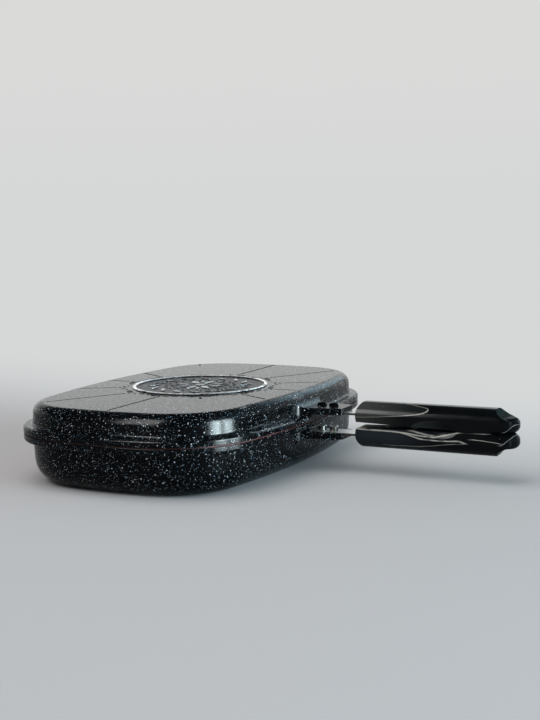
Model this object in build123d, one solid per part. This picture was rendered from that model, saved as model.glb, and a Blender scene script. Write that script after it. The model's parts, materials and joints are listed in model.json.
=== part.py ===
from build123d import *
import os
from math import atan, degrees, hypot

# Double sided flip pan, in millimetres: two die-cast pans hinged along one long side, with a
# split handle on the other.  The origin is the centre of the lower pan's base, +X points along
# the handles, +Y along the hinge and +Z up.
#
# Most pieces come in pairs, one for each pan.  They are drawn once, as a "half": the parting
# plane is at z = 0, and the half rises from it to its own hob face.

# ---- driving dimensions ----------------------------------------------------------------------

# Outline of the pan wall at the parting plane: four bowed sides joined by round corners.
HALF_X = 114.0
HALF_Y = 172.0
CORNER_RADIUS = 68.5
LONG_SIDE_RADIUS = 740.0
SHORT_SIDE_RADIUS = 350.0

# Heights of the closed pan.
CLOSED_HEIGHT = 72.0
PARTING_Z = 45.3
LOWER_DEPTH = PARTING_Z
UPPER_DEPTH = CLOSED_HEIGHT - PARTING_Z

# Castings.
WALL = 3.6
BASE = 4.0
DRAFT = degrees(atan(2.5 / PARTING_Z))
LOWER_EDGE_RADIUS = 22.0
UPPER_EDGE_RADIUS = 9.6
FLANGE_GAP = 1.2
FLANGE_OVERHANG = 8.0
FLANGE_THICKNESS = 6.1
FLANGE_OUTER_RADIUS = 2.2
FLANGE_MOUTH_RADIUS = 0.5
FLANGE_ROOT_RADIUS = 2.6

# Hob face: a raised ring on the upper pan, a ring groove on the lower one, and spoke grooves.
RING_RADIUS = 64.6
RING_WIDTH = 3.4
RING_HEIGHT = 1.2
RING_EDGE_RADIUS = 0.8
RING_GROOVE_DEPTH = 0.6
SPOKES = 12
SPOKE_START = 80.0
SPOKE_WIDTH = 2.4
SPOKE_DEPTH = 0.5

# Grill ribs inside the upper pan.
RIB_PITCH = 15.0
RIB_COUNT = 19
RIB_WIDTH = 3.2
RIB_HEIGHT = 2.0
RIB_MARGIN = 20.0

# Silicone seal, seated in the lower flange.
SEAL_INNER = 2.2
SEAL_OUTER = 6.2
SEAL_GROOVE_DEPTH = 2.2
SEAL_CLEARANCE = 0.3
SEAL_SIDE_CLEARANCE = 0.05

# Lugs that carry the handles.  Their root curves start inside the wall, at LUG_WALL_X, and end
# where the straight arm begins, at LUG_ROOT_X.
LUG_FOOT_X = 104.0
LUG_WALL_X = 112.7
LUG_ROOT_X = 121.0
LUG_END_X = 153.3
LUG_INNER = 8.4
LUG_OUTER = 14.2
LUG_END_HALF_WIDTH = 12.0
LUG_END_CHAMFER = 0.5
LUG_ROOT_HALF_WIDTH = 18.6
LUG_FOOT_HALF_WIDTH = 28.0
LUG_GUSSET_HEIGHT = 20.2

# Steel tangs, screwed to the lugs.
TANG_WIDTH = 20.0
TANG_THICKNESS = 2.0
TANG_START_X = 120.5
TANG_END_X = 214.0
LUG_SCREW_X = (128.4, 140.0)
LUG_SCREW_RADIUS = 2.5
LUG_HEAD_RADIUS = 4.4
LUG_HEAD_HEIGHT = 3.0
LUG_NUT_RADIUS = 4.0
LUG_NUT_HEIGHT = 4.3

# Grips.
GRIP_START_X = 166.0
GRIP_SCOOP_X = 294.5
GRIP_SCOOP_END_X = 303.2
GRIP_SCOOP_SAG = 0.9
GRIP_SCOOP_FOOT = 8.8
GRIP_TAIL_X = 299.8
GRIP_HEIGHT = 20.7
GRIP_TAIL_HEIGHT = 13.2
GRIP_START_GAP = 3.0
GRIP_MEETING_X = 284.0
GRIP_MEETING_GAP = 0.15
GRIP_START_HALF_WIDTH = 12.0
GRIP_HALF_WIDTH = 13.8
GRIP_TAIL_BACK_RADIUS = 5.0
GRIP_TAIL_FACE_RADIUS = 6.2
GRIP_ROUNDING = 11.0
THUMB_DISH_X = 241.0
THUMB_DISH_HALF_LENGTH = 24.0
THUMB_DISH_HALF_HEIGHT = 8.8
THUMB_DISH_DEPTH = 2.4

# Grip screw, its brass insert, and the magnet with its cover.
GRIP_SCREW_X = 190.0
GRIP_SCREW_RADIUS = 2.0
GRIP_SCREW_HEAD_RADIUS = 3.8
GRIP_SCREW_HEAD_HEIGHT = 2.4
GRIP_SCREW_END = 15.4
GRIP_SCREW_ACCESS_RADIUS = 4.8
INSERT_RADIUS = 3.6
INSERT_END = 16.4
MAGNET_X = 294.0
MAGNET_RADIUS = 6.6
MAGNET_THICKNESS = 5.0
COVER_RADIUS = 8.4
COVER_THICKNESS = 1.0

# Hinge: two sets of three knuckles, each on its own headed pin.
HINGE_X = -(HALF_X + FLANGE_OVERHANG + 7.2)
HINGE_SET_Y = 50.0
KNUCKLE_RADIUS = 6.0
MIDDLE_KNUCKLE = 16.0
OUTER_KNUCKLE = 10.0
KNUCKLE_SIDE_GAP = 0.4
PIN_RADIUS = 2.5
PIN_HEAD_RADIUS = 3.9
PIN_HEAD_HEIGHT = 1.6
PIN_TAIL = 2.6
CLIP_THICKNESS = 0.8
CLIP_RADIUS = 4.2
CLIP_NECK_RADIUS = 1.9

# Clearance round a shaft, and round a piece seated in a pocket.
FIT = 0.05

HALF_SPAN = 200.0
FLANGE_FACE = FLANGE_GAP / 2
FLANGE_BACK = FLANGE_FACE + FLANGE_THICKNESS
TANG_BACK = LUG_INNER + TANG_THICKNESS


# ---- outline and placing ---------------------------------------------------------------------


def unit(x, y):
    """Direction of (x, y)."""
    length = hypot(x, y)
    return x / length, y / length


def corner_centre():
    """Centre of the +X +Y corner arc, which touches the long and the short side arc."""
    long_x = HALF_X - LONG_SIDE_RADIUS
    short_y = HALF_Y - SHORT_SIDE_RADIUS
    to_long = LONG_SIDE_RADIUS - CORNER_RADIUS
    to_short = SHORT_SIDE_RADIUS - CORNER_RADIUS
    span = hypot(long_x, short_y)
    along = (to_long**2 - to_short**2 + span**2) / (2 * span)
    aside = (to_long**2 - along**2) ** 0.5
    ux, uy = unit(-long_x, short_y)
    return long_x + along * ux - aside * uy, along * uy + aside * ux


def outline(offset, z=0.0):
    """Face bounded by the pan's outline, moved outwards by offset, at height z."""
    cx, cy = corner_centre()
    long_dir = unit(cx - (HALF_X - LONG_SIDE_RADIUS), cy)
    short_dir = unit(cx, cy - (HALF_Y - SHORT_SIDE_RADIUS))
    mid_dir = unit(long_dir[0] + short_dir[0], long_dir[1] + short_dir[1])
    reach = CORNER_RADIUS + offset
    corner = [(cx + reach * dx, cy + reach * dy) for dx, dy in (long_dir, mid_dir, short_dir)]
    (long_x, long_y), _, (short_x, short_y) = corner
    arcs = []
    for sx, sy in ((1, 1), (-1, 1), (-1, -1), (1, -1)):
        arcs.append(ThreePointArc(*[(sx * x, sy * y) for x, y in corner]))
    for side in (1, -1):
        middle_x = side * (HALF_X + offset)
        middle_y = side * (HALF_Y + offset)
        arcs.append(ThreePointArc((side * long_x, -long_y), (middle_x, 0), (side * long_x, long_y)))
        arcs.append(ThreePointArc((-short_x, side * short_y), (0, middle_y), (short_x, side * short_y)))
    return Pos(0, 0, z) * make_face(arcs)


def raised(shape):
    """Carry a shape from z = 0 up to the parting plane: an upper half, or a hinge piece."""
    return Pos(0, 0, PARTING_Z) * shape


def turned_over(shape):
    """Place a half as part of the lower pan."""
    return raised(Rot(180, 0, 0) * shape)


def post(x, y, radius, z0, z1):
    """Upright cylinder between two heights."""
    return Pos(x, y, z0) * Cylinder(radius, z1 - z0, align=(Align.CENTER, Align.CENTER, Align.MIN))


def bar(y0, y1, radius):
    """Cylinder along the hinge axis between two places."""
    rod = Cylinder(radius, y1 - y0, align=(Align.CENTER, Align.CENTER, Align.MIN))
    return Pos(HINGE_X, y0, 0) * Rot(-90, 0, 0) * rod


def block(x, y, z):
    """Box between two limits on each axis."""
    size = [high - low for low, high in (x, y, z)]
    return Pos(x[0], y[0], z[0]) * Box(*size, align=(Align.MIN, Align.MIN, Align.MIN))


def across(profile):
    """Solid of an X-Z profile, drawn as (x, z) edges, right across the handle."""
    face = make_face([Rot(90, 0, 0) * edge for edge in profile])
    return Pos(0, HALF_SPAN / 2, 0) * extrude(face, HALF_SPAN, dir=(0, -1, 0))


# ---- castings --------------------------------------------------------------------------------


def cast_shell(depth, edge_radius):
    """Solid outer form of one pan: body and flange, before lugs, hinge and cavity."""
    body = extrude(outline(0, FLANGE_FACE), depth - FLANGE_FACE, taper=DRAFT)
    body = fillet(body.faces().sort_by(Axis.Z)[-1].edges(), edge_radius)
    flange = extrude(outline(FLANGE_OVERHANG, FLANGE_FACE), FLANGE_THICKNESS)
    flange = fillet(flange.faces().sort_by(Axis.Z)[-1].edges(), FLANGE_OUTER_RADIUS)
    flange = fillet(flange.faces().sort_by(Axis.Z)[0].edges(), FLANGE_MOUTH_RADIUS)
    shell = flange + body
    back = shell.faces().filter_by_position(Axis.Z, FLANGE_BACK - 0.01, FLANGE_BACK + 0.01)[0]
    return fillet(back.inner_wires()[0].edges(), FLANGE_ROOT_RADIUS)


def cavity(depth, edge_radius):
    """Space inside one pan."""
    space = extrude(outline(-WALL, 0), depth - BASE, taper=DRAFT)
    return fillet(space.faces().sort_by(Axis.Z)[-1].edges(), edge_radius)


def lug():
    """Arm on the handle side: a side profile crossed with a plan outline."""
    wall_top = (LUG_WALL_X, LUG_GUSSET_HEIGHT)
    side = [
        TangentArc((LUG_ROOT_X, LUG_OUTER), wall_top, tangent=(-1, 0)),
        Polyline(
            wall_top,
            (LUG_FOOT_X, LUG_GUSSET_HEIGHT),
            (LUG_FOOT_X, FLANGE_FACE + 2),
            (LUG_ROOT_X - 2, FLANGE_FACE + 2),
            (LUG_ROOT_X, LUG_INNER),
            (LUG_END_X, LUG_INNER),
            (LUG_END_X, LUG_OUTER),
            (LUG_ROOT_X, LUG_OUTER),
        ),
    ]
    arm_x = LUG_END_X - LUG_END_CHAMFER
    narrowing = (LUG_ROOT_HALF_WIDTH - LUG_END_HALF_WIDTH) / (arm_x - LUG_ROOT_X)
    tip = LUG_END_HALF_WIDTH - LUG_END_CHAMFER
    foot = LUG_FOOT_HALF_WIDTH
    plan = [
        Polyline((LUG_WALL_X, foot), (LUG_FOOT_X, foot), (LUG_FOOT_X, -foot), (LUG_WALL_X, -foot)),
        Line((LUG_END_X, tip), (LUG_END_X, -tip)),
    ]
    for s in (1, -1):
        root = (LUG_ROOT_X, s * LUG_ROOT_HALF_WIDTH)
        plan.append(TangentArc(root, (LUG_WALL_X, s * foot), tangent=(-1, s * narrowing)))
        plan.append(Polyline(root, (arm_x, s * LUG_END_HALF_WIDTH), (LUG_END_X, s * tip)))
    return across(side) & extrude(make_face(plan), HALF_SPAN)


def lug_cuts():
    """Channel for the tang, and the screw holes."""
    half = TANG_WIDTH / 2 + FIT
    cuts = block((TANG_START_X - FIT, LUG_END_X + 1), (-half, half), (LUG_INNER - 1, TANG_BACK))
    for x in LUG_SCREW_X:
        cuts += post(x, 0, LUG_SCREW_RADIUS + FIT, LUG_INNER, LUG_OUTER + 1)
    return cuts


def knuckle_spans(middle):
    """Y ranges of the knuckles in both hinge sets: the middle ones, or the outer ones."""
    spans = []
    for y in (-HINGE_SET_Y, HINGE_SET_Y):
        half = MIDDLE_KNUCKLE / 2
        if middle:
            spans.append((y - half, y + half))
        else:
            inner = half + KNUCKLE_SIDE_GAP
            spans.append((y - inner - OUTER_KNUCKLE, y - inner))
            spans.append((y + inner, y + inner + OUTER_KNUCKLE))
    return spans


def knuckles(middle):
    """Hinge knuckles of one pan, with the webs that join them to its flange."""
    made = Part()
    for y0, y1 in knuckle_spans(middle):
        web = block((HINGE_X, -HALF_X), (y0, y1), (FLANGE_FACE, KNUCKLE_RADIUS))
        made += bar(y0, y1, KNUCKLE_RADIUS) + web
        made -= bar(y0 - 1, y1 + 1, PIN_RADIUS + FIT)
    return made


def spoke_grooves(depth, edge_radius):
    """Thin radial grooves in the hob face."""
    bars = Part()
    for n in range(SPOKES // 2):
        bars += Rot(0, 0, n * 360 / SPOKES) * Box(2 * HALF_SPAN, SPOKE_WIDTH, 2 * SPOKE_DEPTH)
    inside = extrude(outline(-edge_radius - 3, -SPOKE_DEPTH), 2 * SPOKE_DEPTH)
    return Pos(0, 0, depth) * (bars & inside) - post(0, 0, SPOKE_START, depth - 1, depth + 1)


def emblem_ring(z0, z1):
    """Flat ring on the hob face between two heights."""
    return post(0, 0, RING_RADIUS, z0, z1) - post(0, 0, RING_RADIUS - RING_WIDTH, z0 - 1, z1 + 1)


def lower_pan():
    """Deep pan, with the seal's groove and the outer knuckles."""
    pan = cast_shell(LOWER_DEPTH, LOWER_EDGE_RADIUS) + lug() + knuckles(middle=False)
    pan -= cavity(LOWER_DEPTH, LOWER_EDGE_RADIUS - BASE)
    pan -= lug_cuts()
    pan -= seal_band(SEAL_SIDE_CLEARANCE, 0, FLANGE_FACE + SEAL_GROOVE_DEPTH)
    pan -= spoke_grooves(LOWER_DEPTH, LOWER_EDGE_RADIUS)
    pan -= emblem_ring(LOWER_DEPTH - RING_GROOVE_DEPTH, LOWER_DEPTH + 1)
    return pan


def upper_pan():
    """Shallow pan, with grill ribs, the raised ring and the middle knuckles."""
    pan = cast_shell(UPPER_DEPTH, UPPER_EDGE_RADIUS) + lug() + knuckles(middle=True)
    pan -= cavity(UPPER_DEPTH, UPPER_EDGE_RADIUS - BASE)
    pan -= lug_cuts()
    pan -= spoke_grooves(UPPER_DEPTH, UPPER_EDGE_RADIUS)
    ring = emblem_ring(UPPER_DEPTH - 1, UPPER_DEPTH + RING_HEIGHT)
    ring = fillet(ring.faces().sort_by(Axis.Z)[-1].edges(), RING_EDGE_RADIUS)
    return pan + ring + grill_ribs()


def grill_ribs():
    """Straight ribs on the upper pan's floor."""
    floor = UPPER_DEPTH - BASE
    ribs = Part()
    for n in range(RIB_COUNT):
        y = (n - (RIB_COUNT - 1) / 2) * RIB_PITCH
        y_limits = (y - RIB_WIDTH / 2, y + RIB_WIDTH / 2)
        ribs += block((-HALF_SPAN, HALF_SPAN), y_limits, (floor - RIB_HEIGHT, floor + 1))
    return ribs & extrude(outline(-RIB_MARGIN, floor - RIB_HEIGHT), RIB_HEIGHT + 1)


def seal_band(side_clearance, z0, z1):
    """Band that follows the pan's outline, between two heights."""
    outer = extrude(outline(SEAL_OUTER + side_clearance, z0), z1 - z0)
    return outer - extrude(outline(SEAL_INNER - side_clearance, z0), z1 - z0)


def seal_ring():
    """Silicone seal: it fills the groove and stands up to the upper flange."""
    return seal_band(0, -FLANGE_FACE + SEAL_CLEARANCE, FLANGE_FACE + SEAL_GROOVE_DEPTH)


# ---- handle pieces ---------------------------------------------------------------------------


def tang():
    """Steel strip from the lug into the grip."""
    half = TANG_WIDTH / 2
    strip = block((TANG_START_X, TANG_END_X), (-half, half), (LUG_INNER, TANG_BACK))
    for x in LUG_SCREW_X:
        strip -= post(x, 0, LUG_SCREW_RADIUS + FIT, LUG_INNER - 1, TANG_BACK + 1)
    return strip - post(GRIP_SCREW_X, 0, GRIP_SCREW_RADIUS + FIT, LUG_INNER - 1, TANG_BACK + 1)


def lug_screws(end):
    """Two dome-headed screws, from the lug's outer face to a height inside it."""
    screws = []
    for x in LUG_SCREW_X:
        head = post(x, 0, LUG_HEAD_RADIUS, LUG_OUTER, LUG_OUTER + LUG_HEAD_HEIGHT)
        head = fillet(head.faces().sort_by(Axis.Z)[-1].edges(), LUG_HEAD_HEIGHT - 0.4)
        screws.append(head + post(x, 0, LUG_SCREW_RADIUS, end, LUG_OUTER))
    return screws


def lug_nuts():
    """Two round nuts on the lower tang's inner face, which hold the tangs apart."""
    nuts = []
    for x in LUG_SCREW_X:
        nut = post(x, 0, LUG_NUT_RADIUS, LUG_INNER - LUG_NUT_HEIGHT, LUG_INNER)
        nut = chamfer(nut.faces().sort_by(Axis.Z)[0].edges(), 0.4)
        nuts.append(nut - post(x, 0, LUG_SCREW_RADIUS + FIT, 0, LUG_INNER + 1))
    return nuts


def grip_side():
    """Side view of a grip's body as (x, z) edges."""
    start = (GRIP_START_X + 0.8, GRIP_START_GAP)
    top = (GRIP_START_X + 5, GRIP_HEIGHT - 0.2)
    scoop_start = (GRIP_SCOOP_X, GRIP_HEIGHT)
    scoop_end = (GRIP_SCOOP_END_X, GRIP_TAIL_HEIGHT)
    scoop_middle = (
        (GRIP_SCOOP_X + GRIP_SCOOP_END_X) / 2 - GRIP_SCOOP_SAG / 2,
        (GRIP_HEIGHT + GRIP_TAIL_HEIGHT) / 2 - GRIP_SCOOP_SAG,
    )
    return [
        ThreePointArc(start, (GRIP_START_X, GRIP_HEIGHT / 2), top),
        Line(top, scoop_start),
        ThreePointArc(scoop_start, scoop_middle, scoop_end),
        Polyline(
            scoop_end,
            (GRIP_TAIL_X + GRIP_HALF_WIDTH + 1, GRIP_SCOOP_FOOT),
            (GRIP_TAIL_X + GRIP_HALF_WIDTH + 1, GRIP_MEETING_GAP),
            (GRIP_MEETING_X, GRIP_MEETING_GAP),
            start,
        ),
    ]


def grip_section(x, half_width):
    """Cross-section of a grip's body: flat where the grips meet, rounded on the outside."""
    face = Plane.YZ * Pos(0, GRIP_HEIGHT / 2) * Rectangle(2 * half_width, GRIP_HEIGHT)
    return Pos(x, 0, 0) * fillet(face.vertices().group_by(Axis.Z)[-1], GRIP_ROUNDING)


def grip_edge(x, radius):
    """What a rounding of the grip's edge takes away at the meeting face, on one side of the grip."""
    share = (x - GRIP_START_X) / (GRIP_TAIL_X - GRIP_START_X)
    side = GRIP_START_HALF_WIDTH + share * (GRIP_HALF_WIDTH - GRIP_START_HALF_WIDTH)
    bottom = GRIP_MEETING_GAP
    corner = [
        RadiusArc((side - radius, bottom), (side, bottom + radius), -radius),
        Polyline(
            (side, bottom + radius),
            (side + 1, bottom + radius),
            (side + 1, bottom - 1),
            (side - radius, bottom - 1),
            (side - radius, bottom),
        ),
    ]
    return Pos(x, 0, 0) * (Plane.YZ * make_face(corner))


def turned_end(height, rounding):
    """Round solid about the upright line of the tail, rounded at the meeting face and at its back."""
    side, bottom, face_radius = GRIP_HALF_WIDTH, GRIP_MEETING_GAP, GRIP_TAIL_FACE_RADIUS
    profile = [
        Polyline((side - rounding, height), (0, height), (0, bottom), (side - face_radius, bottom)),
        RadiusArc((side - face_radius, bottom), (side, bottom + face_radius), -face_radius),
        Line((side, bottom + face_radius), (side, height - rounding)),
        RadiusArc((side, height - rounding), (side - rounding, height), -rounding),
    ]
    return Pos(GRIP_TAIL_X, 0, 0) * revolve(Plane.XZ * make_face(profile), Axis.Z)


def grip_body():
    """Grip without its sockets: a widening bar, scooped down to a round nub at its tail."""
    start = grip_section(GRIP_START_X, GRIP_START_HALF_WIDTH)
    end = grip_section(GRIP_TAIL_X, GRIP_HALF_WIDTH)
    edge = loft([grip_edge(GRIP_MEETING_X, 0.3), grip_edge(GRIP_TAIL_X, GRIP_TAIL_FACE_RADIUS)], ruled=True)
    bar = loft([start, end], ruled=True) - edge - mirror(edge, Plane.XZ)
    behind = block((GRIP_TAIL_X, GRIP_TAIL_X + HALF_SPAN), (-HALF_SPAN, HALF_SPAN), (0, HALF_SPAN))
    tall = turned_end(GRIP_HEIGHT, GRIP_ROUNDING) & across(grip_side())
    tail = tall + turned_end(GRIP_TAIL_HEIGHT, GRIP_TAIL_BACK_RADIUS)
    return (bar & across(grip_side())) + (tail & behind)


def thumb_dish():
    """Barrel along X that dishes the side of a closed pair of grips."""
    middle = (THUMB_DISH_HALF_HEIGHT**2 + THUMB_DISH_DEPTH**2) / (2 * THUMB_DISH_DEPTH)
    end = middle - THUMB_DISH_DEPTH
    half = THUMB_DISH_HALF_LENGTH
    profile = [
        ThreePointArc((-half, end), (0, middle), (half, end)),
        Polyline((half, end), (half, 0), (-half, 0), (-half, end)),
    ]
    return Pos(THUMB_DISH_X, GRIP_HALF_WIDTH + end, 0) * revolve(make_face(profile), Axis.X)


def grip():
    """Moulded grip half, with its sockets for tang, screw, insert and magnet."""
    body = grip_body()
    for side in (0, 180):
        body -= Rot(side, 0, 0) * thumb_dish()
    half = TANG_WIDTH / 2 + FIT
    z_limits = (LUG_INNER - FIT, TANG_BACK + FIT)
    body -= block((GRIP_START_X - 5, TANG_END_X + FIT), (-half, half), z_limits)
    body -= post(GRIP_SCREW_X, 0, GRIP_SCREW_ACCESS_RADIUS, 0, LUG_INNER)
    body -= post(GRIP_SCREW_X, 0, INSERT_RADIUS + FIT, TANG_BACK, INSERT_END + FIT)
    cover_top = GRIP_MEETING_GAP + COVER_THICKNESS
    body -= post(MAGNET_X, 0, COVER_RADIUS + FIT, 0, cover_top)
    body -= post(MAGNET_X, 0, MAGNET_RADIUS + FIT, 0, cover_top + MAGNET_THICKNESS)
    return body


def grip_screw():
    """Pan-head screw that holds the grip to the tang."""
    head_bottom = LUG_INNER - GRIP_SCREW_HEAD_HEIGHT
    head = post(GRIP_SCREW_X, 0, GRIP_SCREW_HEAD_RADIUS, head_bottom, LUG_INNER)
    head = fillet(head.faces().sort_by(Axis.Z)[0].edges(), 1.0)
    for angle in (0, 90):
        slot = Box(4.0, 1.0, 2.4)
        head -= Pos(GRIP_SCREW_X, 0, head_bottom) * Rot(0, 0, angle) * slot
    return head + post(GRIP_SCREW_X, 0, GRIP_SCREW_RADIUS, LUG_INNER, GRIP_SCREW_END)


def grip_insert():
    """Brass insert moulded into the grip, closed at its far end."""
    insert = post(GRIP_SCREW_X, 0, INSERT_RADIUS, TANG_BACK + FIT, INSERT_END)
    return insert - post(GRIP_SCREW_X, 0, GRIP_SCREW_RADIUS + FIT, TANG_BACK, GRIP_SCREW_END + 0.2)


def magnet():
    """Disc magnet behind its cover."""
    bottom = GRIP_MEETING_GAP + COVER_THICKNESS
    return post(MAGNET_X, 0, MAGNET_RADIUS, bottom, bottom + MAGNET_THICKNESS)


def magnet_cover():
    """Steel disc, flush with the grip's meeting face."""
    return post(MAGNET_X, 0, COVER_RADIUS, GRIP_MEETING_GAP, GRIP_MEETING_GAP + COVER_THICKNESS)


# ---- hinge pieces ----------------------------------------------------------------------------


def hinge_pin(set_y):
    """Headed pin through one set of knuckles, with a neck for its clip."""
    half = MIDDLE_KNUCKLE / 2 + KNUCKLE_SIDE_GAP + OUTER_KNUCKLE
    y0, y1 = set_y - half, set_y + half
    head = bar(y0 - PIN_HEAD_HEIGHT, y0, PIN_HEAD_RADIUS)
    head = fillet(head.faces().sort_by(Axis.Y)[0].edges(), PIN_HEAD_HEIGHT / 2)
    pin = head + bar(y0, y1 + PIN_TAIL, PIN_RADIUS)
    neck = bar(y1 + FIT, y1 + CLIP_THICKNESS + 2 * FIT, PIN_RADIUS + 1)
    neck -= bar(y1, y1 + CLIP_THICKNESS + 1, CLIP_NECK_RADIUS)
    return pin - neck


def hinge_clips():
    """One open retaining ring on the neck of each pin."""
    clips = []
    for set_y in (-HINGE_SET_Y, HINGE_SET_Y):
        y0 = set_y + MIDDLE_KNUCKLE / 2 + KNUCKLE_SIDE_GAP + OUTER_KNUCKLE + FIT
        y1 = y0 + CLIP_THICKNESS
        clip = bar(y0, y1, CLIP_RADIUS) - bar(y0 - 1, y1 + 1, CLIP_NECK_RADIUS + FIT)
        mouth = 2 * CLIP_NECK_RADIUS - 0.6
        opening = block(
            (HINGE_X - CLIP_RADIUS - 1, HINGE_X), (y0 - 1, y1 + 1), (-mouth / 2, mouth / 2)
        )
        clips.append(clip - opening)
    return clips


# ---- writing ---------------------------------------------------------------------------------


def write(name, shapes, place):
    """Write one node: one solid, or a group of like ones."""
    placed = [place(shape) for shape in shapes]
    node = placed[0] if len(placed) == 1 else Compound(children=placed)
    export_step(node, f"parts/{name}.step")


PAIRED = {
    "tang": tang,
    "grip": grip,
    "grip_screw": grip_screw,
    "grip_insert": grip_insert,
    "magnet": magnet,
    "magnet_cover": magnet_cover,
}

os.makedirs("parts", exist_ok=True)
write("lower_pan", [lower_pan()], turned_over)
write("upper_pan", [upper_pan()], raised)
write("seal_ring", [seal_ring()], turned_over)
write("lower_lug_screws", lug_screws(end=LUG_INNER - LUG_NUT_HEIGHT), turned_over)
write("lower_lug_nuts", lug_nuts(), turned_over)
write("upper_lug_screws", lug_screws(end=LUG_INNER), raised)
for piece, make in PAIRED.items():
    shape = make()
    write(f"lower_{piece}", [shape], turned_over)
    write(f"upper_{piece}", [shape], raised)
write("hinge_pin_left", [hinge_pin(HINGE_SET_Y)], raised)
write("hinge_pin_right", [hinge_pin(-HINGE_SET_Y)], raised)
write("hinge_clips", hinge_clips(), raised)
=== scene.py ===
import json
import math

import bmesh
import bpy
from mathutils import Matrix, Vector


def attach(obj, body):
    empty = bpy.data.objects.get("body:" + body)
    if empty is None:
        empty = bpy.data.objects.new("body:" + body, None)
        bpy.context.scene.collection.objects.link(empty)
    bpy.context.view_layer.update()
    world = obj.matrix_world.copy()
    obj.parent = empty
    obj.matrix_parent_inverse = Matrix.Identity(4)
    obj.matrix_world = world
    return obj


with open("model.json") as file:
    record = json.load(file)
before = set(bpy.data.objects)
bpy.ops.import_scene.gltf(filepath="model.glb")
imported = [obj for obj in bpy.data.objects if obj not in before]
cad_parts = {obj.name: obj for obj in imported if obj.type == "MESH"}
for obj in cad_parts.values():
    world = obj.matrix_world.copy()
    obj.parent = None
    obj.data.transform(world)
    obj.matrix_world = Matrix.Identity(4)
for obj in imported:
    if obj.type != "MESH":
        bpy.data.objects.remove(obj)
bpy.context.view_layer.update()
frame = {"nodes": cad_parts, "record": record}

MM = 0.001

# ---- places on the pan -----------------------------------------------------------------------

PARTING_Z = 45.3 * MM
HOB_FACE_Z = 72.0 * MM
RING_INNER = 61.2 * MM
SPOKE_STEP = math.radians(30)
SPOKE_HALF_WIDTH = 1.0 * MM

# ---- camera ----------------------------------------------------------------------------------

CAMERA_PLACE = Vector((0.61917, -1.07187, 0.24792))
CAMERA_AZIMUTH = math.radians(26.89)
CAMERA_ELEVATION = math.radians(7.05)
CAMERA_ROLL = math.radians(-1.1)
CAMERA_LENS = 65.0
CAMERA_SENSOR = 36.0
CAMERA_CLIP = 0.01

# ---- colours of the part ---------------------------------------------------------------------

BLACK_COAT = (0.001, 0.0013, 0.0016)
WHITE_SPECK = (0.86, 0.88, 0.9)
BLUE_SPECK = (0.14, 0.24, 0.32)
BARE_METAL = (0.78, 0.79, 0.8)
EMBLEM_METAL = (0.4, 0.41, 0.42)
STEEL = (0.6, 0.59, 0.57)
BRASS = (0.68, 0.48, 0.2)
NICKEL = (0.55, 0.54, 0.52)
OXIDE = (0.0008, 0.0008, 0.001)
OXIDE_WORN = (0.002, 0.002, 0.0022)
SILICONE_RED = (0.028, 0.002, 0.0015)
GRIP_BLACK = (0.0022, 0.0028, 0.0032)
# Painted sheen in the upper grip's thumb dish:
GRIP_DISH_SHEEN = (0.014, 0.017, 0.018)
# Painted sheen on the lower grip near the pan:
GRIP_SHEEN_GREY = (0.013, 0.0165, 0.0205)
# Painted reflection of the bluish light in the grips' scoop:
SCOOP_REFLECTION_TEAL = (0.0055, 0.0115, 0.0115)
GRIP_BROWN = (0.036, 0.036, 0.033)
GRIP_BROWN_TIP = (0.0075, 0.0095, 0.009)
GRIP_VEIN = (0.5, 0.47, 0.42)

# ---- colours of the room ---------------------------------------------------------------------

FLOOR_NEAR = (0.412, 0.4, 0.4)
FLOOR_FAR = (0.672, 0.68, 0.68)
SKY_SHOWN = (0.70, 0.70, 0.695)
ROOM_DARK = (0.02, 0.022, 0.025)
ROOM_WINDOW = (0.5, 0.95, 1.3)
ROOM_BACKDROP = (1.17, 1.19, 1.18)
FILL_ROOM = (0.34, 0.335, 0.335)
FILL_WINDOW = (0.45, 0.58, 0.64)
LAMP_WHITE = (1.0, 1.0, 1.0)
LAMP_COOL = (0.66, 0.92, 1.06)
LAMP_PALE = (0.69, 0.84, 0.88)

# ---- specks of the coating: cell, smallest and largest radius, share of cells, strength ------

SPECK_SIZES = (
    (1.0 * MM, 0.12 * MM, 0.25 * MM, 0.6, 0.5),
    (1.5 * MM, 0.22 * MM, 0.4 * MM, 0.5, 0.8),
    (2.1 * MM, 0.32 * MM, 0.54 * MM, 0.45, 1.0),
)

# ---- pattern of the grips, in mm along X, and in mm of rise over the parting face ------------

# rise at the start, bends (from, to, change of rise), half width, first and last place, strength
LOWER_VEINS = (
    (-3.2, ((202, 237, -3.4), (237, 270, 6.8)), 1.0, 150, 294, 0.8),
    (-3.4, ((205, 233, -5.7), (240, 262, 1.1), (262, 272, -2.2)), 0.85, 200, 273, 0.85),
    (-15.9, ((215, 275, 5.9),), 0.6, 190, 273, 0.35),
    (-0.8, ((210, 240, -4.4),), 1.2, 212, 244, 0.5),
    (-5.8, ((282, 304, -2.6),), 0.4, 270, 304, 0.8),
    (-9.6, ((300, 312, 8.6),), 0.4, 297, 316, 0.6),
)
TAIL_VEIN = (1.5, ((302, 313, 6.5),), 0.35, 299, 316, 0.6)
TONGUE_TIP = 234.5
TONGUE_LENGTH = 60
TONGUE_RISE = 17.0
TONGUE_ABOVE = 6.5
TONGUE_BELOW = 9.2
TONGUE_VEIN = 0.5
DISH_MIDDLE = 241
DISH_HALF_LENGTH = 24
DISH_RISE = 8.8
SCOOP_MIDDLE = (309.55, 29.36)
SCOOP_RADIUS = 17.37


# ---- node helpers ----------------------------------------------------------------------------


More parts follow.
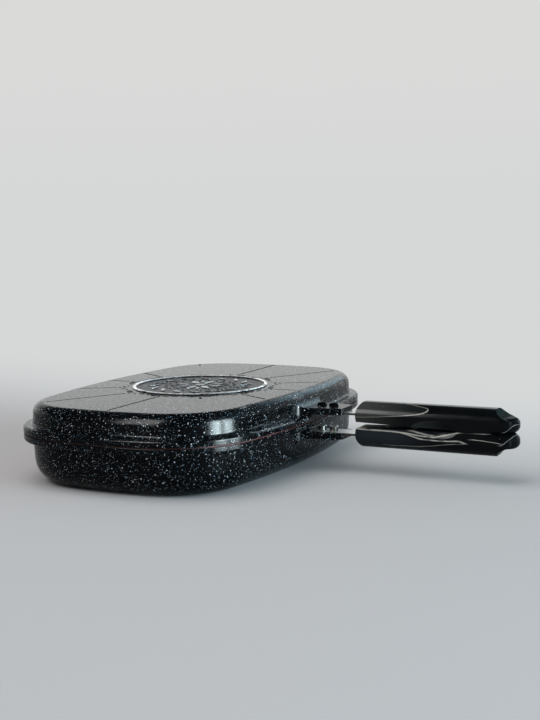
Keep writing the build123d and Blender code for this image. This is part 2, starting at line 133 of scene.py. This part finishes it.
class Graph:
    """Short calls for building one node tree."""

    def __init__(self, tree):
        self.tree = tree
        tree.nodes.clear()

    def node(self, kind, **settings):
        made = self.tree.nodes.new("ShaderNode" + kind)
        for name, value in settings.items():
            setattr(made, name, value)
        return made

    def feed(self, socket, value):
        """Link a socket, or set a number or colour on it."""
        if isinstance(value, bpy.types.NodeSocket):
            self.tree.links.new(value, socket)
        elif isinstance(value, tuple) and len(socket.default_value) == 4:
            socket.default_value = (*value, 1.0)
        else:
            socket.default_value = value

    def math(self, operation, *values):
        made = self.node("Math", operation=operation)
        for socket, value in zip(made.inputs, values):
            self.feed(socket, value)
        return made.outputs[0]

    def times(self, *values):
        """Product of two or more values."""
        product = values[0]
        for value in values[1:]:
            product = self.math("MULTIPLY", product, value)
        return product

    def vector(self, operation, *values):
        made = self.node("VectorMath", operation=operation)
        for socket, value in zip(made.inputs, values):
            self.feed(socket, value)
        return made.outputs["Value" if operation in ("LENGTH", "DOT_PRODUCT") else "Vector"]

    def ramp(self, value, low, high, out_low=0.0, out_high=1.0, kind="SMOOTHSTEP"):
        """Value moved from one range to another, and held at its ends."""
        made = self.node("MapRange", interpolation_type=kind)
        for socket, number in zip(made.inputs, (value, low, high, out_low, out_high)):
            self.feed(socket, number)
        return made.outputs[0]

    def mix(self, factor, first, second):
        """Colour between two colours."""
        made = self.node("Mix", data_type="RGBA")
        self.feed(made.inputs["Factor"], factor)
        self.feed(made.inputs[6], first)
        self.feed(made.inputs[7], second)
        return made.outputs[2]

    def place(self):
        """Where a surface point is in the row frame, in metres."""
        return self.node("TexCoord").outputs["Object"]

    def normal(self):
        """X, Y and Z of the surface's normal in the row frame."""
        return self.split(self.node("TexCoord").outputs["Normal"])

    def split(self, vector):
        made = self.node("SeparateXYZ")
        self.feed(made.inputs[0], vector)
        return made.outputs

    def join(self, x, y, z):
        made = self.node("CombineXYZ")
        for socket, value in zip(made.inputs, (x, y, z)):
            self.feed(socket, value)
        return made.outputs[0]

    def noise(self, place, size, detail=2.0):
        """Smooth noise with features of about one size."""
        made = self.node("TexNoise")
        self.feed(made.inputs["Vector"], place)
        made.inputs["Scale"].default_value = 1 / size
        made.inputs["Detail"].default_value = detail
        return made.outputs["Fac"]

    def bump(self, height, depth):
        """Normal of a relief of a given depth."""
        made = self.node("Bump")
        self.feed(made.inputs["Height"], height)
        made.inputs["Distance"].default_value = depth
        return made.outputs["Normal"]

    def radius(self, place):
        """Distance from the upright line through the pan's middle."""
        x, y, _ = self.split(place)
        return self.vector("LENGTH", self.join(x, y, 0.0))

    def spoke_mask(self, place):
        """1 along the spokes of the hob face and 0 between them."""
        x, y, _ = self.split(place)
        turn = self.math("ARCTAN2", y, x)
        apart = self.math("ABSOLUTE", self.math("WRAP", turn, SPOKE_STEP / 2, -SPOKE_STEP / 2))
        aside = self.times(apart, self.radius(place))
        return self.ramp(aside, SPOKE_HALF_WIDTH, 0.9 * SPOKE_HALF_WIDTH)


def scaled(colour, share):
    """Colour with each of its values multiplied by a share."""
    return tuple(share * value for value in colour)


def surface(name, build, **fixed):
    """Material with one Principled shader. build(graph) returns its linked inputs by name."""
    material = bpy.data.materials.new(name)
    material.use_nodes = True
    graph = Graph(material.node_tree)
    shader = graph.node("BsdfPrincipled")
    output = graph.node("OutputMaterial")
    graph.tree.links.new(shader.outputs[0], output.inputs["Surface"])
    for socket, value in fixed.items():
        graph.feed(shader.inputs[socket], value)
    for socket, value in build(graph).items():
        graph.feed(shader.inputs[socket], value)
    return material


# ---- coating ---------------------------------------------------------------------------------


def specks(graph, place, cell, smallest, largest, share):
    """1 inside round specks and 0 between them, and a random number for each speck."""
    cells = graph.node("TexVoronoi", feature="F1")
    graph.feed(cells.inputs["Vector"], place)
    cells.inputs["Scale"].default_value = 1 / cell
    chance, tone, _ = graph.split(cells.outputs["Color"])
    size = graph.ramp(chance, 1 - share, 1.0, smallest / cell, largest / cell, kind="LINEAR")
    inside = graph.math("SUBTRACT", size, cells.outputs["Distance"])
    chosen = graph.math("GREATER_THAN", chance, 1 - share)
    return graph.times(chosen, graph.ramp(inside, 0.0, 0.08)), tone


def speckled(graph):
    """Place, and the colour there of a black coating with white and blue-grey specks."""
    place = graph.place()
    wobble = graph.noise(place, 1.1 * MM)
    shift = graph.times(graph.math("SUBTRACT", wobble, 0.5), 0.7 * MM)
    warped = graph.vector("ADD", place, graph.join(shift, shift, shift))
    patch = graph.noise(place, 14 * MM)
    colour = BLACK_COAT
    for cell, smallest, largest, share, strength in SPECK_SIZES:
        inside, tone = specks(graph, warped, cell, smallest, largest, share)
        paint = graph.mix(graph.ramp(tone, 0.3, 0.9), BLUE_SPECK, WHITE_SPECK)
        density = graph.ramp(patch, 0.2, 0.6, 0.7 * strength, strength)
        colour = graph.mix(graph.times(inside, density), colour, paint)
    return place, colour


def coating(graph):
    """Gloss coating, duller inside the emblem ring and worn to bright metal on the ring."""
    place, colour = speckled(graph)
    radius = graph.radius(place)
    height = graph.split(place)[2]

    # The field inside the ring, and the floor of the spokes, 0.46 to 0.02 mm under the hob face.
    above = graph.ramp(height, HOB_FACE_Z - 0.2 * MM, HOB_FACE_Z - 0.1 * MM)
    field = graph.times(above, graph.ramp(radius, RING_INNER, RING_INNER - 0.3 * MM))
    sunk = graph.ramp(height, HOB_FACE_Z - 0.02 * MM, HOB_FACE_Z - 0.01 * MM, 1.0, 0.0)
    flat = graph.ramp(height, HOB_FACE_Z - 0.48 * MM, HOB_FACE_Z - 0.46 * MM)
    groove = graph.times(sunk, flat, graph.spoke_mask(place))

    crest = graph.ramp(height, HOB_FACE_Z + 0.5 * MM, HOB_FACE_Z + 0.9 * MM)
    bare = graph.times(crest, graph.ramp(graph.noise(place, 5 * MM), 0.3, 0.5))
    gloss = graph.ramp(graph.noise(place, 3 * MM), 0.3, 0.7, 0.14, 0.22)
    dull = graph.math("ADD", gloss, graph.times(field, 0.12))
    return {
        "Specular IOR Level": graph.ramp(field, 0.0, 1.0, 0.5, 0.34),
        "Base Color": graph.mix(bare, colour, BARE_METAL),
        "Metallic": bare,
        "Roughness": graph.math("MAXIMUM", dull, graph.times(groove, 0.8)),
        "Normal": graph.bump(graph.noise(place, 0.7 * MM, detail=3.0), 0.035 * MM),
    }


def bright_coating(graph):
    """Coating with its raised parts worn to bright metal."""
    place, colour = speckled(graph)
    height = graph.split(place)[2]
    bare = graph.ramp(height, HOB_FACE_Z + 0.35 * MM, HOB_FACE_Z + 0.75 * MM)
    return {
        "Base Color": graph.mix(bare, colour, EMBLEM_METAL),
        "Metallic": bare,
        "Roughness": graph.ramp(graph.noise(place, 2 * MM), 0.3, 0.7, 0.24, 0.36),
    }


# ---- grips -----------------------------------------------------------------------------------


def past(graph, value, start):
    """How far a value in metres is past a place in mm."""
    return graph.math("SUBTRACT", value, start * MM)


def vein(graph, x, rise, start, bends, width, low, high, strength):
    """Bending line along the grip, which fades in and out over 6 mm at its two ends."""
    fade = 6
    for first, last, change in bends:
        bend = graph.ramp(x, first * MM, last * MM, 0.0, change * MM)
        rise = graph.math("SUBTRACT", rise, bend)
    line = graph.ramp(graph.math("ABSOLUTE", past(graph, rise, start)), width * MM, 0.0)
    fade_in = graph.ramp(x, low * MM, (low + fade) * MM)
    fade_out = graph.ramp(x, (high - fade) * MM, high * MM, 1.0, 0.0)
    return graph.times(line, graph.times(fade_in, fade_out), strength)


def lower_veins(graph, place, x, rise):
    """Pale veins of the lower grip, with fainter and stronger stretches."""
    lines = 0.0
    for settings in LOWER_VEINS:
        lines = graph.math("MAXIMUM", lines, vein(graph, x, rise, *settings))
    return graph.times(lines, graph.ramp(graph.noise(place, 9 * MM), 0.3, 0.5, 0.4, 1.0))


def tongue(graph, x, rise):
    """Brown tongue on the upper grip that points away from the pan, and the vein round it."""
    above = graph.math("DIVIDE", past(graph, rise, TONGUE_RISE), TONGUE_ABOVE * MM)
    below = graph.math("SUBTRACT", TONGUE_RISE * MM, rise)
    aside = graph.math("MAXIMUM", above, graph.math("DIVIDE", below, TONGUE_BELOW * MM))
    back = graph.times(aside, aside, TONGUE_LENGTH * MM)
    reach = past(graph, graph.math("ADD", x, back), TONGUE_TIP)
    inside = graph.ramp(reach, 0.0, -4 * MM)

    # The distance to the edge along X, over its steepness, is the distance straight to it.
    slope = graph.times(aside, 15.0)
    steepness = graph.math("SQRT", graph.math("ADD", graph.times(slope, slope), 1.0))
    away = graph.math("DIVIDE", graph.math("ABSOLUTE", reach), steepness)
    edge = graph.ramp(away, TONGUE_VEIN * MM, 0.0)

    # The vein is faint on the tongue's upper side and near the pan.
    under = graph.ramp(rise, (TONGUE_RISE - 0.5) * MM, (TONGUE_RISE + 1.5) * MM, 1.0, 0.35)
    near_tip = graph.ramp(x, 185 * MM, 228 * MM, 0.25, 0.9)
    return inside, graph.times(edge, under, near_tip)


def dish_sheen_mask(graph, x, over_parting):
    """1 in the half of the thumb dish that is nearer the pan, where the upper grip gets a painted
    sheen.
    """
    dish_x = graph.math("DIVIDE", past(graph, x, DISH_MIDDLE), DISH_HALF_LENGTH * MM)
    dish_z = graph.math("DIVIDE", over_parting, DISH_RISE * MM)
    dish = graph.vector("LENGTH", graph.join(dish_x, dish_z, 0.0))
    return graph.times(graph.ramp(dish, 0.98, 0.9), graph.ramp(dish_x, 0.6, -0.6))


def scoop_mask(graph, x, height):
    """1 on the scooped face in front of the grip's tail."""
    middle_x, middle_height = SCOOP_MIDDLE
    aside = graph.join(past(graph, x, middle_x), past(graph, height, middle_height), 0.0)
    away = graph.math("ABSOLUTE", past(graph, graph.vector("LENGTH", aside), SCOOP_RADIUS))
    near = graph.ramp(away, 0.3 * MM, 0.15 * MM)
    return graph.times(near, graph.ramp(x, 294.2 * MM, 294.6 * MM))


def marbled(graph):
    """Black phenolic with a brown tongue, pale veins along it, and a few bright flecks."""
    place = graph.place()
    x, _, z = graph.split(place)
    swirl = graph.noise(graph.vector("MULTIPLY", place, (0.3, 1.0, 1.0)), 7 * MM)
    drift = graph.times(graph.math("SUBTRACT", swirl, 0.5), 2.4 * MM)
    over_parting = graph.math("SUBTRACT", z, PARTING_Z)
    rise = graph.math("ADD", over_parting, drift)
    height = graph.math("ABSOLUTE", over_parting)
    upper = graph.ramp(over_parting, -0.1 * MM, 0.1 * MM)
    lower = graph.math("SUBTRACT", 1.0, upper)

    # Black, with painted sheen in the thumb dish and near the pan, and a painted teal reflection
    # in the scoop.
    # Painted sheen: the half of the thumb dish nearer the pan is lighter on the upper grip.
    dish_sheen = graph.times(dish_sheen_mask(graph, x, over_parting), upper)
    # Painted sheen: the lower grip is greyer near the pan, fading out between 200 and 245 mm.
    sheen_near_pan = graph.times(lower, graph.ramp(x, 200 * MM, 245 * MM, 1.0, 0.0))
    scoop = scoop_mask(graph, x, height)
    # Painted reflection: the scoop is painted teal, fully near the grip's body and down to a fifth
    # past 302 mm.
    teal_reflection = graph.times(scoop, graph.ramp(x, 298 * MM, 302 * MM, 1.0, 0.2))
    colour = graph.mix(dish_sheen, GRIP_BLACK, GRIP_DISH_SHEEN)
    colour = graph.mix(sheen_near_pan, colour, GRIP_SHEEN_GREY)
    colour = graph.mix(teal_reflection, colour, SCOOP_REFLECTION_TEAL)

    # Brown in the upper grip's tongue, and round it near the pan.
    in_tongue, tongue_vein = tongue(graph, x, rise)
    brown = graph.times(upper, graph.ramp(x, 170 * MM, 222 * MM, 0.7, 0.0))
    brown = graph.math("MAXIMUM", brown, graph.times(upper, in_tongue))
    to_tip = graph.ramp(x, 172 * MM, 221 * MM, kind="LINEAR")
    colour = graph.mix(brown, colour, graph.mix(to_tip, GRIP_BROWN, GRIP_BROWN_TIP))

    upper_lines = graph.math("MAXIMUM", tongue_vein, vein(graph, x, rise, *TAIL_VEIN))
    pale = graph.mix(upper, lower_veins(graph, place, x, rise), upper_lines)
    colour = graph.mix(pale, colour, GRIP_VEIN)
    fleck, _ = specks(graph, place, 6 * MM, 0.15 * MM, 0.4 * MM, 0.25)

    # The scoop, the shelf over the tail and the faces inside the closed handle are matt.
    high = graph.ramp(height, 11.5 * MM, 12.5 * MM)
    shelf = graph.times(graph.ramp(x, 300 * MM, 302 * MM), high)
    facing = graph.math("ABSOLUTE", graph.normal()[2])
    inner = graph.times(graph.ramp(facing, 0.8, 0.95), graph.ramp(height, 4 * MM, 3.5 * MM))
    matt = graph.math("MAXIMUM", inner, graph.math("MAXIMUM", scoop, shelf))
    return {
        "Base Color": graph.mix(fleck, colour, GRIP_VEIN),
        "Roughness": graph.math("MAXIMUM", inner, graph.ramp(swirl, 0.3, 0.7, 0.16, 0.26)),
        "Specular IOR Level": graph.ramp(matt, 0.0, 1.0, 0.5, 0.02),
        "Normal": graph.bump(graph.noise(place, 4 * MM), 0.02 * MM),
    }


# ---- metals and rubber -----------------------------------------------------------------------


def brushed(colour, edge=1.0, side=1.0):
    """Metal with lines along X. edge darkens the faces that look along Y, and side all upright
    ones, as painted shade.
    """

    def build(graph):
        place = graph.place()
        _, along_y, along_z = graph.normal()
        lines = graph.noise(graph.vector("MULTIPLY", place, (0.05, 1.0, 1.0)), 0.25 * MM)
        tint = graph.mix(graph.noise(place, 6 * MM), scaled(colour, 0.88), colour)
        # Painted shade: faces that look along Y are darkened to the share edge of the colour.
        painted_y_shade = graph.ramp(graph.math("ABSOLUTE", along_y), 0.9, 0.97)
        tint = graph.mix(painted_y_shade, tint, scaled(colour, edge))
        # Painted shade: with side below 1, upright faces are darkened to that share of the colour.
        if side < 1.0:
            upright = graph.ramp(graph.math("ABSOLUTE", along_z), 0.6, 0.4)
            tint = graph.mix(upright, tint, scaled(colour, side))
        return {
            "Base Color": tint,
            "Roughness": graph.ramp(lines, 0.3, 0.7, 0.24, 0.42),
            "Normal": graph.bump(lines, 0.01 * MM),
        }

    return build


def silicone(graph):
    """Matt red rubber, darker where it has picked up grease."""
    place = graph.place()
    stain = graph.ramp(graph.noise(place, 12 * MM), 0.35, 0.65)
    return {
        "Base Color": graph.mix(stain, SILICONE_RED, scaled(SILICONE_RED, 0.7)),
        "Roughness": graph.ramp(stain, 0.0, 1.0, 0.5, 0.62),
        "Normal": graph.bump(graph.noise(place, 0.5 * MM), 0.02 * MM),
    }


def black_oxide(graph):
    """Blackened steel with worn high spots."""
    worn = graph.ramp(graph.noise(graph.place(), 1.2 * MM), 0.55, 0.75)
    return {
        "Base Color": graph.mix(worn, OXIDE, OXIDE_WORN),
        "Roughness": graph.ramp(worn, 0.0, 1.0, 0.4, 0.55),
    }


MATERIALS = {
    "coating": surface("speckled_coating", coating, IOR=1.135),
    "emblem": surface("emblem_relief", bright_coating, IOR=1.135),
    "phenolic": surface("marbled_phenolic", marbled, IOR=1.15),
    # The steel's faces that look along Y carry painted shade.
    "steel": surface("polished_steel", brushed(STEEL, edge=0.06), Metallic=1.0),
    # The nuts' upright sides carry painted shade.
    "nut": surface("steel_painted_side_shade", brushed(STEEL, side=0.13), Metallic=1.0),
    "brass": surface("turned_brass", brushed(BRASS), Metallic=1.0),
    "magnet": surface("nickel_plate", brushed(NICKEL), Metallic=1.0),
    "silicone": surface("red_silicone", silicone, IOR=1.2),
    "black_screw": surface("black_oxide", black_oxide, IOR=1.05),
}


def dress_cad_nodes():
    """Give each CAD node the material of its slot, and the nuts a steel of their own, with painted
    shade on their upright sides.
    """
    for part in frame["record"]["subparts"]:
        node = frame["nodes"][part["node"]]
        look = "nut" if part["node"] == "lower_lug_nuts" else part["material_slot"]
        node.data.materials.clear()
        node.data.materials.append(MATERIALS[look])


dress_cad_nodes()

# ---- emblem relief ---------------------------------------------------------------------------

SUNK = -0.15 * MM


def wall(mesh, below, above):
    """Closed strip of faces between two rings of vertices."""
    count = len(below)
    for n in range(count):
        m = (n + 1) % count
        mesh.faces.new((below[n], below[m], above[m], above[n]))


def leaf(mesh, place, length, width, height):
    """Pointed leaf with a ridge along it, lying along +X of its place matrix."""
    steps = 20
    sections = ((1.0, 1.0, SUNK), (0.9, 0.988, 0.6 * height), (0.0, 0.75, height))
    rows = []
    for width_share, length_share, z in sections:
        row = []
        for n in range(steps):
            turn = 2 * math.pi * n / steps
            along = length / 2 * math.cos(turn)
            bulge = width / 2 * math.sin(turn) * abs(math.sin(turn)) ** 0.5
            spot = Vector((along * length_share, bulge * width_share, z))
            row.append(mesh.verts.new(place @ spot))
        rows.append(row)
    for below, above in zip(rows, rows[1:]):
        wall(mesh, below, above)


def bead(mesh, place, radius, height):
    """Low round dome."""
    steps, rises = 12, 4
    rows = []
    for k in range(rises):
        tilt = math.pi / 2 * k / rises
        z = height * math.sin(tilt) if k else SUNK
        reach = radius * math.cos(tilt)
        row = []
        for n in range(steps):
            turn = 2 * math.pi * n / steps
            spot = Vector((reach * math.cos(turn), reach * math.sin(turn), z))
            row.append(mesh.verts.new(place @ spot))
        rows.append(row)
    for below, above in zip(rows, rows[1:]):
        wall(mesh, below, above)
    top = mesh.verts.new(place @ Vector((0, 0, height)))
    for n in range(steps):
        mesh.faces.new((rows[-1][n], rows[-1][(n + 1) % steps], top))


def on_face(turn, radius, slant=0.0):
    """Matrix of a place on the hob face, at a distance from the middle, facing outwards."""
    return (
        Matrix.Translation((0, 0, HOB_FACE_Z))
        @ Matrix.Rotation(turn, 4, "Z")
        @ Matrix.Translation((radius, 0, 0))
        @ Matrix.Rotation(slant, 4, "Z")
    )


def turns(count):
    """Angles spaced evenly round a circle."""
    return [2 * math.pi * n / count for n in range(count)]


def piece(name, mesh, material):
    """Object from a finished bmesh, riding on the upper pan."""
    bmesh.ops.remove_doubles(mesh, verts=mesh.verts, dist=1e-6)
    bmesh.ops.recalc_face_normals(mesh, faces=mesh.faces)
    data = bpy.data.meshes.new(name)
    mesh.to_mesh(data)
    mesh.free()
    data.materials.append(material)
    made = bpy.data.objects.new(name, data)
    bpy.context.scene.collection.objects.link(made)
    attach(made, "upper")


def emblem_rosette():
    """Plain rosette inside the ring: petals, a ring of beads and a wreath of slanted leaves."""
    mesh = bmesh.new()
    height = 1.0 * MM
    low = 0.8 * height
    petals = 8
    bead(mesh, on_face(0, 0), 5.5 * MM, height)
    for turn in turns(petals):
        leaf(mesh, on_face(turn, 17 * MM), 18 * MM, 7 * MM, height)
        leaf(mesh, on_face(turn + math.pi / petals, 22 * MM), 13 * MM, 3 * MM, low)
    for turn in turns(24):
        bead(mesh, on_face(turn, 33 * MM), 1.3 * MM, low)
    for turn in turns(16):
        leaf(mesh, on_face(turn, 44 * MM, 0.9), 15 * MM, 4.5 * MM, height)
    piece("emblem_rosette", mesh, MATERIALS["emblem"])


def emblem_border():
    """Low beads and leaves between the ring and the inner ends of the spokes."""
    mesh = bmesh.new()
    height = 0.4 * MM
    for turn in turns(12):
        bead(mesh, on_face(turn, 76.5 * MM), 1.4 * MM, 0.35 * MM)
        for side in (-1, 1):
            inner = on_face(turn + side * 0.07, 73 * MM, side * 1.15)
            outer = on_face(turn + side * 0.17, 70.5 * MM, side * 1.4)
            leaf(mesh, inner, 9 * MM, 2.6 * MM, height)
            leaf(mesh, outer, 10 * MM, 2.4 * MM, height)
    piece("emblem_border", mesh, MATERIALS["coating"])


emblem_rosette()
emblem_border()

# ---- floor -----------------------------------------------------------------------------------

FLOOR_RADIUS = 14.0
FLOOR_GAP = 0.2 * MM
# The floor fades into the backdrop along a line turned 32 degrees right of straight away from the
# camera, which paints a pool of light on the floor right of the part.
FADE_AZIMUTH = CAMERA_AZIMUTH + math.radians(58)
FADE_LENGTH = 0.641


def floor_material():
    """Pale floor under the part, which takes shadows and turns into the backdrop further away,
    sooner to the right of the part, where this paints a pool of light.
    """
    material = bpy.data.materials.new("pale_floor")
    material.use_nodes = True
    graph = Graph(material.node_tree)
    place = graph.place()
    toward = (math.cos(FADE_AZIMUTH), math.sin(FADE_AZIMUTH), 0)
    # Painted light: the floor turns pale sooner to the right of the part.
    far = graph.ramp(graph.vector("DOT_PRODUCT", place, toward), 0.0, FADE_LENGTH)
    far = graph.math("MAXIMUM", far, graph.ramp(graph.vector("LENGTH", place), 1.3, 2.6))
    tone = graph.mix(graph.noise(place, 0.5), FLOOR_NEAR, scaled(FLOOR_NEAR, 1.04))
    matt = graph.node("BsdfDiffuse")
    graph.feed(matt.inputs["Color"], graph.mix(far, tone, FLOOR_FAR))
    glow = graph.node("Emission")
    graph.feed(glow.inputs["Color"], FLOOR_FAR)
    ray = graph.node("LightPath")
    seen = graph.math("MAXIMUM", ray.outputs["Is Camera Ray"], ray.outputs["Is Glossy Ray"])
    seen = graph.math("MAXIMUM", seen, ray.outputs["Is Transmission Ray"])
    blend = graph.node("MixShader")
    graph.feed(blend.inputs[0], graph.times(seen, far))
    graph.tree.links.new(matt.outputs[0], blend.inputs[1])
    graph.tree.links.new(glow.outputs[0], blend.inputs[2])
    output = graph.node("OutputMaterial")
    graph.tree.links.new(blend.outputs[0], output.inputs["Surface"])
    return material


def make_floor():
    """Round floor, centred under the pan."""
    mesh = bmesh.new()
    bmesh.ops.create_circle(mesh, cap_ends=True, segments=96, radius=FLOOR_RADIUS)
    data = bpy.data.meshes.new("floor")
    mesh.to_mesh(data)
    mesh.free()
    data.materials.append(floor_material())
    floor = bpy.data.objects.new("floor", data)
    floor.location = (0, 0, -FLOOR_GAP)
    bpy.context.scene.collection.objects.link(floor)


# ---- light -----------------------------------------------------------------------------------


def make_world():
    """Soft room light: pale behind the part, bluish on its right, and dark in front."""
    world = bpy.data.worlds.new("room")
    bpy.context.scene.world = world
    world.use_nodes = True
    graph = Graph(world.node_tree)
    toward = graph.node("TexCoord").outputs["Generated"]
    away = (-math.sin(CAMERA_AZIMUTH), math.cos(CAMERA_AZIMUTH), 0)
    side = (math.cos(CAMERA_AZIMUTH), math.sin(CAMERA_AZIMUTH), 0)
    height = graph.split(toward)[2]
    behind = graph.ramp(graph.vector("DOT_PRODUCT", toward, away), -0.25, 0.45)
    right = graph.ramp(graph.vector("DOT_PRODUCT", toward, side), 0.3, 0.9)
    backdrop = graph.times(behind, graph.ramp(height, 0.25, 0.5, 1.0, 0.08))
    room = graph.mix(right, ROOM_DARK, ROOM_WINDOW)
    room = graph.mix(backdrop, room, ROOM_BACKDROP)
    fill = graph.mix(right, FILL_ROOM, FILL_WINDOW)
    sky = graph.mix(graph.ramp(height, 0.0, 0.1), FLOOR_FAR, SKY_SHOWN)
    ray = graph.node("LightPath")
    soft = graph.mix(ray.outputs["Is Diffuse Ray"], room, fill)
    shown = graph.mix(ray.outputs["Is Camera Ray"], soft, sky)
    background = graph.node("Background")
    graph.feed(background.inputs["Color"], shown)
    output = graph.node("OutputWorld")
    graph.tree.links.new(background.outputs[0], output.inputs["Surface"])


def area_light(name, place, target, size, radiance, colour, kind, spread):
    """Rectangular lamp aimed at a target, which gives only 'diffuse' or only 'glossy' light."""
    width, height = size
    data = bpy.data.lights.new(name, "AREA")
    data.shape = "RECTANGLE"
    data.size, data.size_y = width, height
    data.energy = radiance * math.pi * width * height
    data.color = colour
    data.spread = math.radians(spread)
    lamp = bpy.data.objects.new(name, data)
    lamp.location = place
    aim = Vector(target) - Vector(place)
    lamp.rotation_euler = aim.to_track_quat("-Z", "Y").to_euler()
    lamp.visible_camera = False
    lamp.visible_diffuse = kind == "diffuse"
    lamp.visible_glossy = kind == "glossy"
    bpy.context.scene.collection.objects.link(lamp)


def window_panes():
    """Settings of two upright panes, which show as the highlight on the pan's right corner."""
    middle_x, middle_y, foot_z = 0.346, -0.118, 0.003
    width, height, gap = 0.075, 0.18, 0.03
    panes = []
    for n, side in enumerate((-1, 1)):
        middle = Vector((middle_x, middle_y + side * (width + gap) / 2, foot_z + height / 2))
        target = middle - Vector((1, 0, 0))
        size = (width, height)
        panes.append((f"window_pane_{n}", middle, target, size, 27.0, LAMP_PALE, "glossy", 60))
    return panes


def make_lights():
    """Soft lamps for the light itself, and others that show only as highlights."""
    # name, place, target, width and height in metres, radiance, colour, kind, spread in degrees
    lamps = (
        ("overhead", (-0.35, -0.8, 1.7), (0, 0, 0),
         (2.0, 2.0), 2.55, LAMP_WHITE, "diffuse", 180),
        ("right_window", (2.0, -0.3, 0.45), (0, 0, 0.05),
         (1.2, 0.9), 12.0, LAMP_COOL, "diffuse", 180),
        *window_panes(),
        ("front_left", (-0.034, -0.408, 0.22), (0.043, -0.17, 0.066),
         (0.15, 0.27), 27.0, LAMP_WHITE, "glossy", 180),
        ("back_right", (0.12, 0.42, 0.25), (0.1, 0.07, 0.07),
         (0.3, 0.2), 0.25, LAMP_COOL, "glossy", 50),
    )
    for settings in lamps:
        area_light(*settings)


# ---- view ------------------------------------------------------------------------------------


def make_camera():
    """Camera at the fitted place."""
    data = bpy.data.cameras.new("camera")
    data.lens = CAMERA_LENS
    data.sensor_width = CAMERA_SENSOR
    data.clip_start = CAMERA_CLIP
    camera = bpy.data.objects.new("camera", data)
    camera.matrix_world = (
        Matrix.Translation(CAMERA_PLACE)
        @ Matrix.Rotation(CAMERA_AZIMUTH, 4, "Z")
        @ Matrix.Rotation(math.pi / 2 - CAMERA_ELEVATION, 4, "X")
        @ Matrix.Rotation(CAMERA_ROLL, 4, "Z")
    )
    bpy.context.scene.collection.objects.link(camera)
    bpy.context.scene.camera = camera


make_floor()
make_world()
make_lights()
make_camera()
bpy.context.scene.view_settings.view_transform = "Standard"
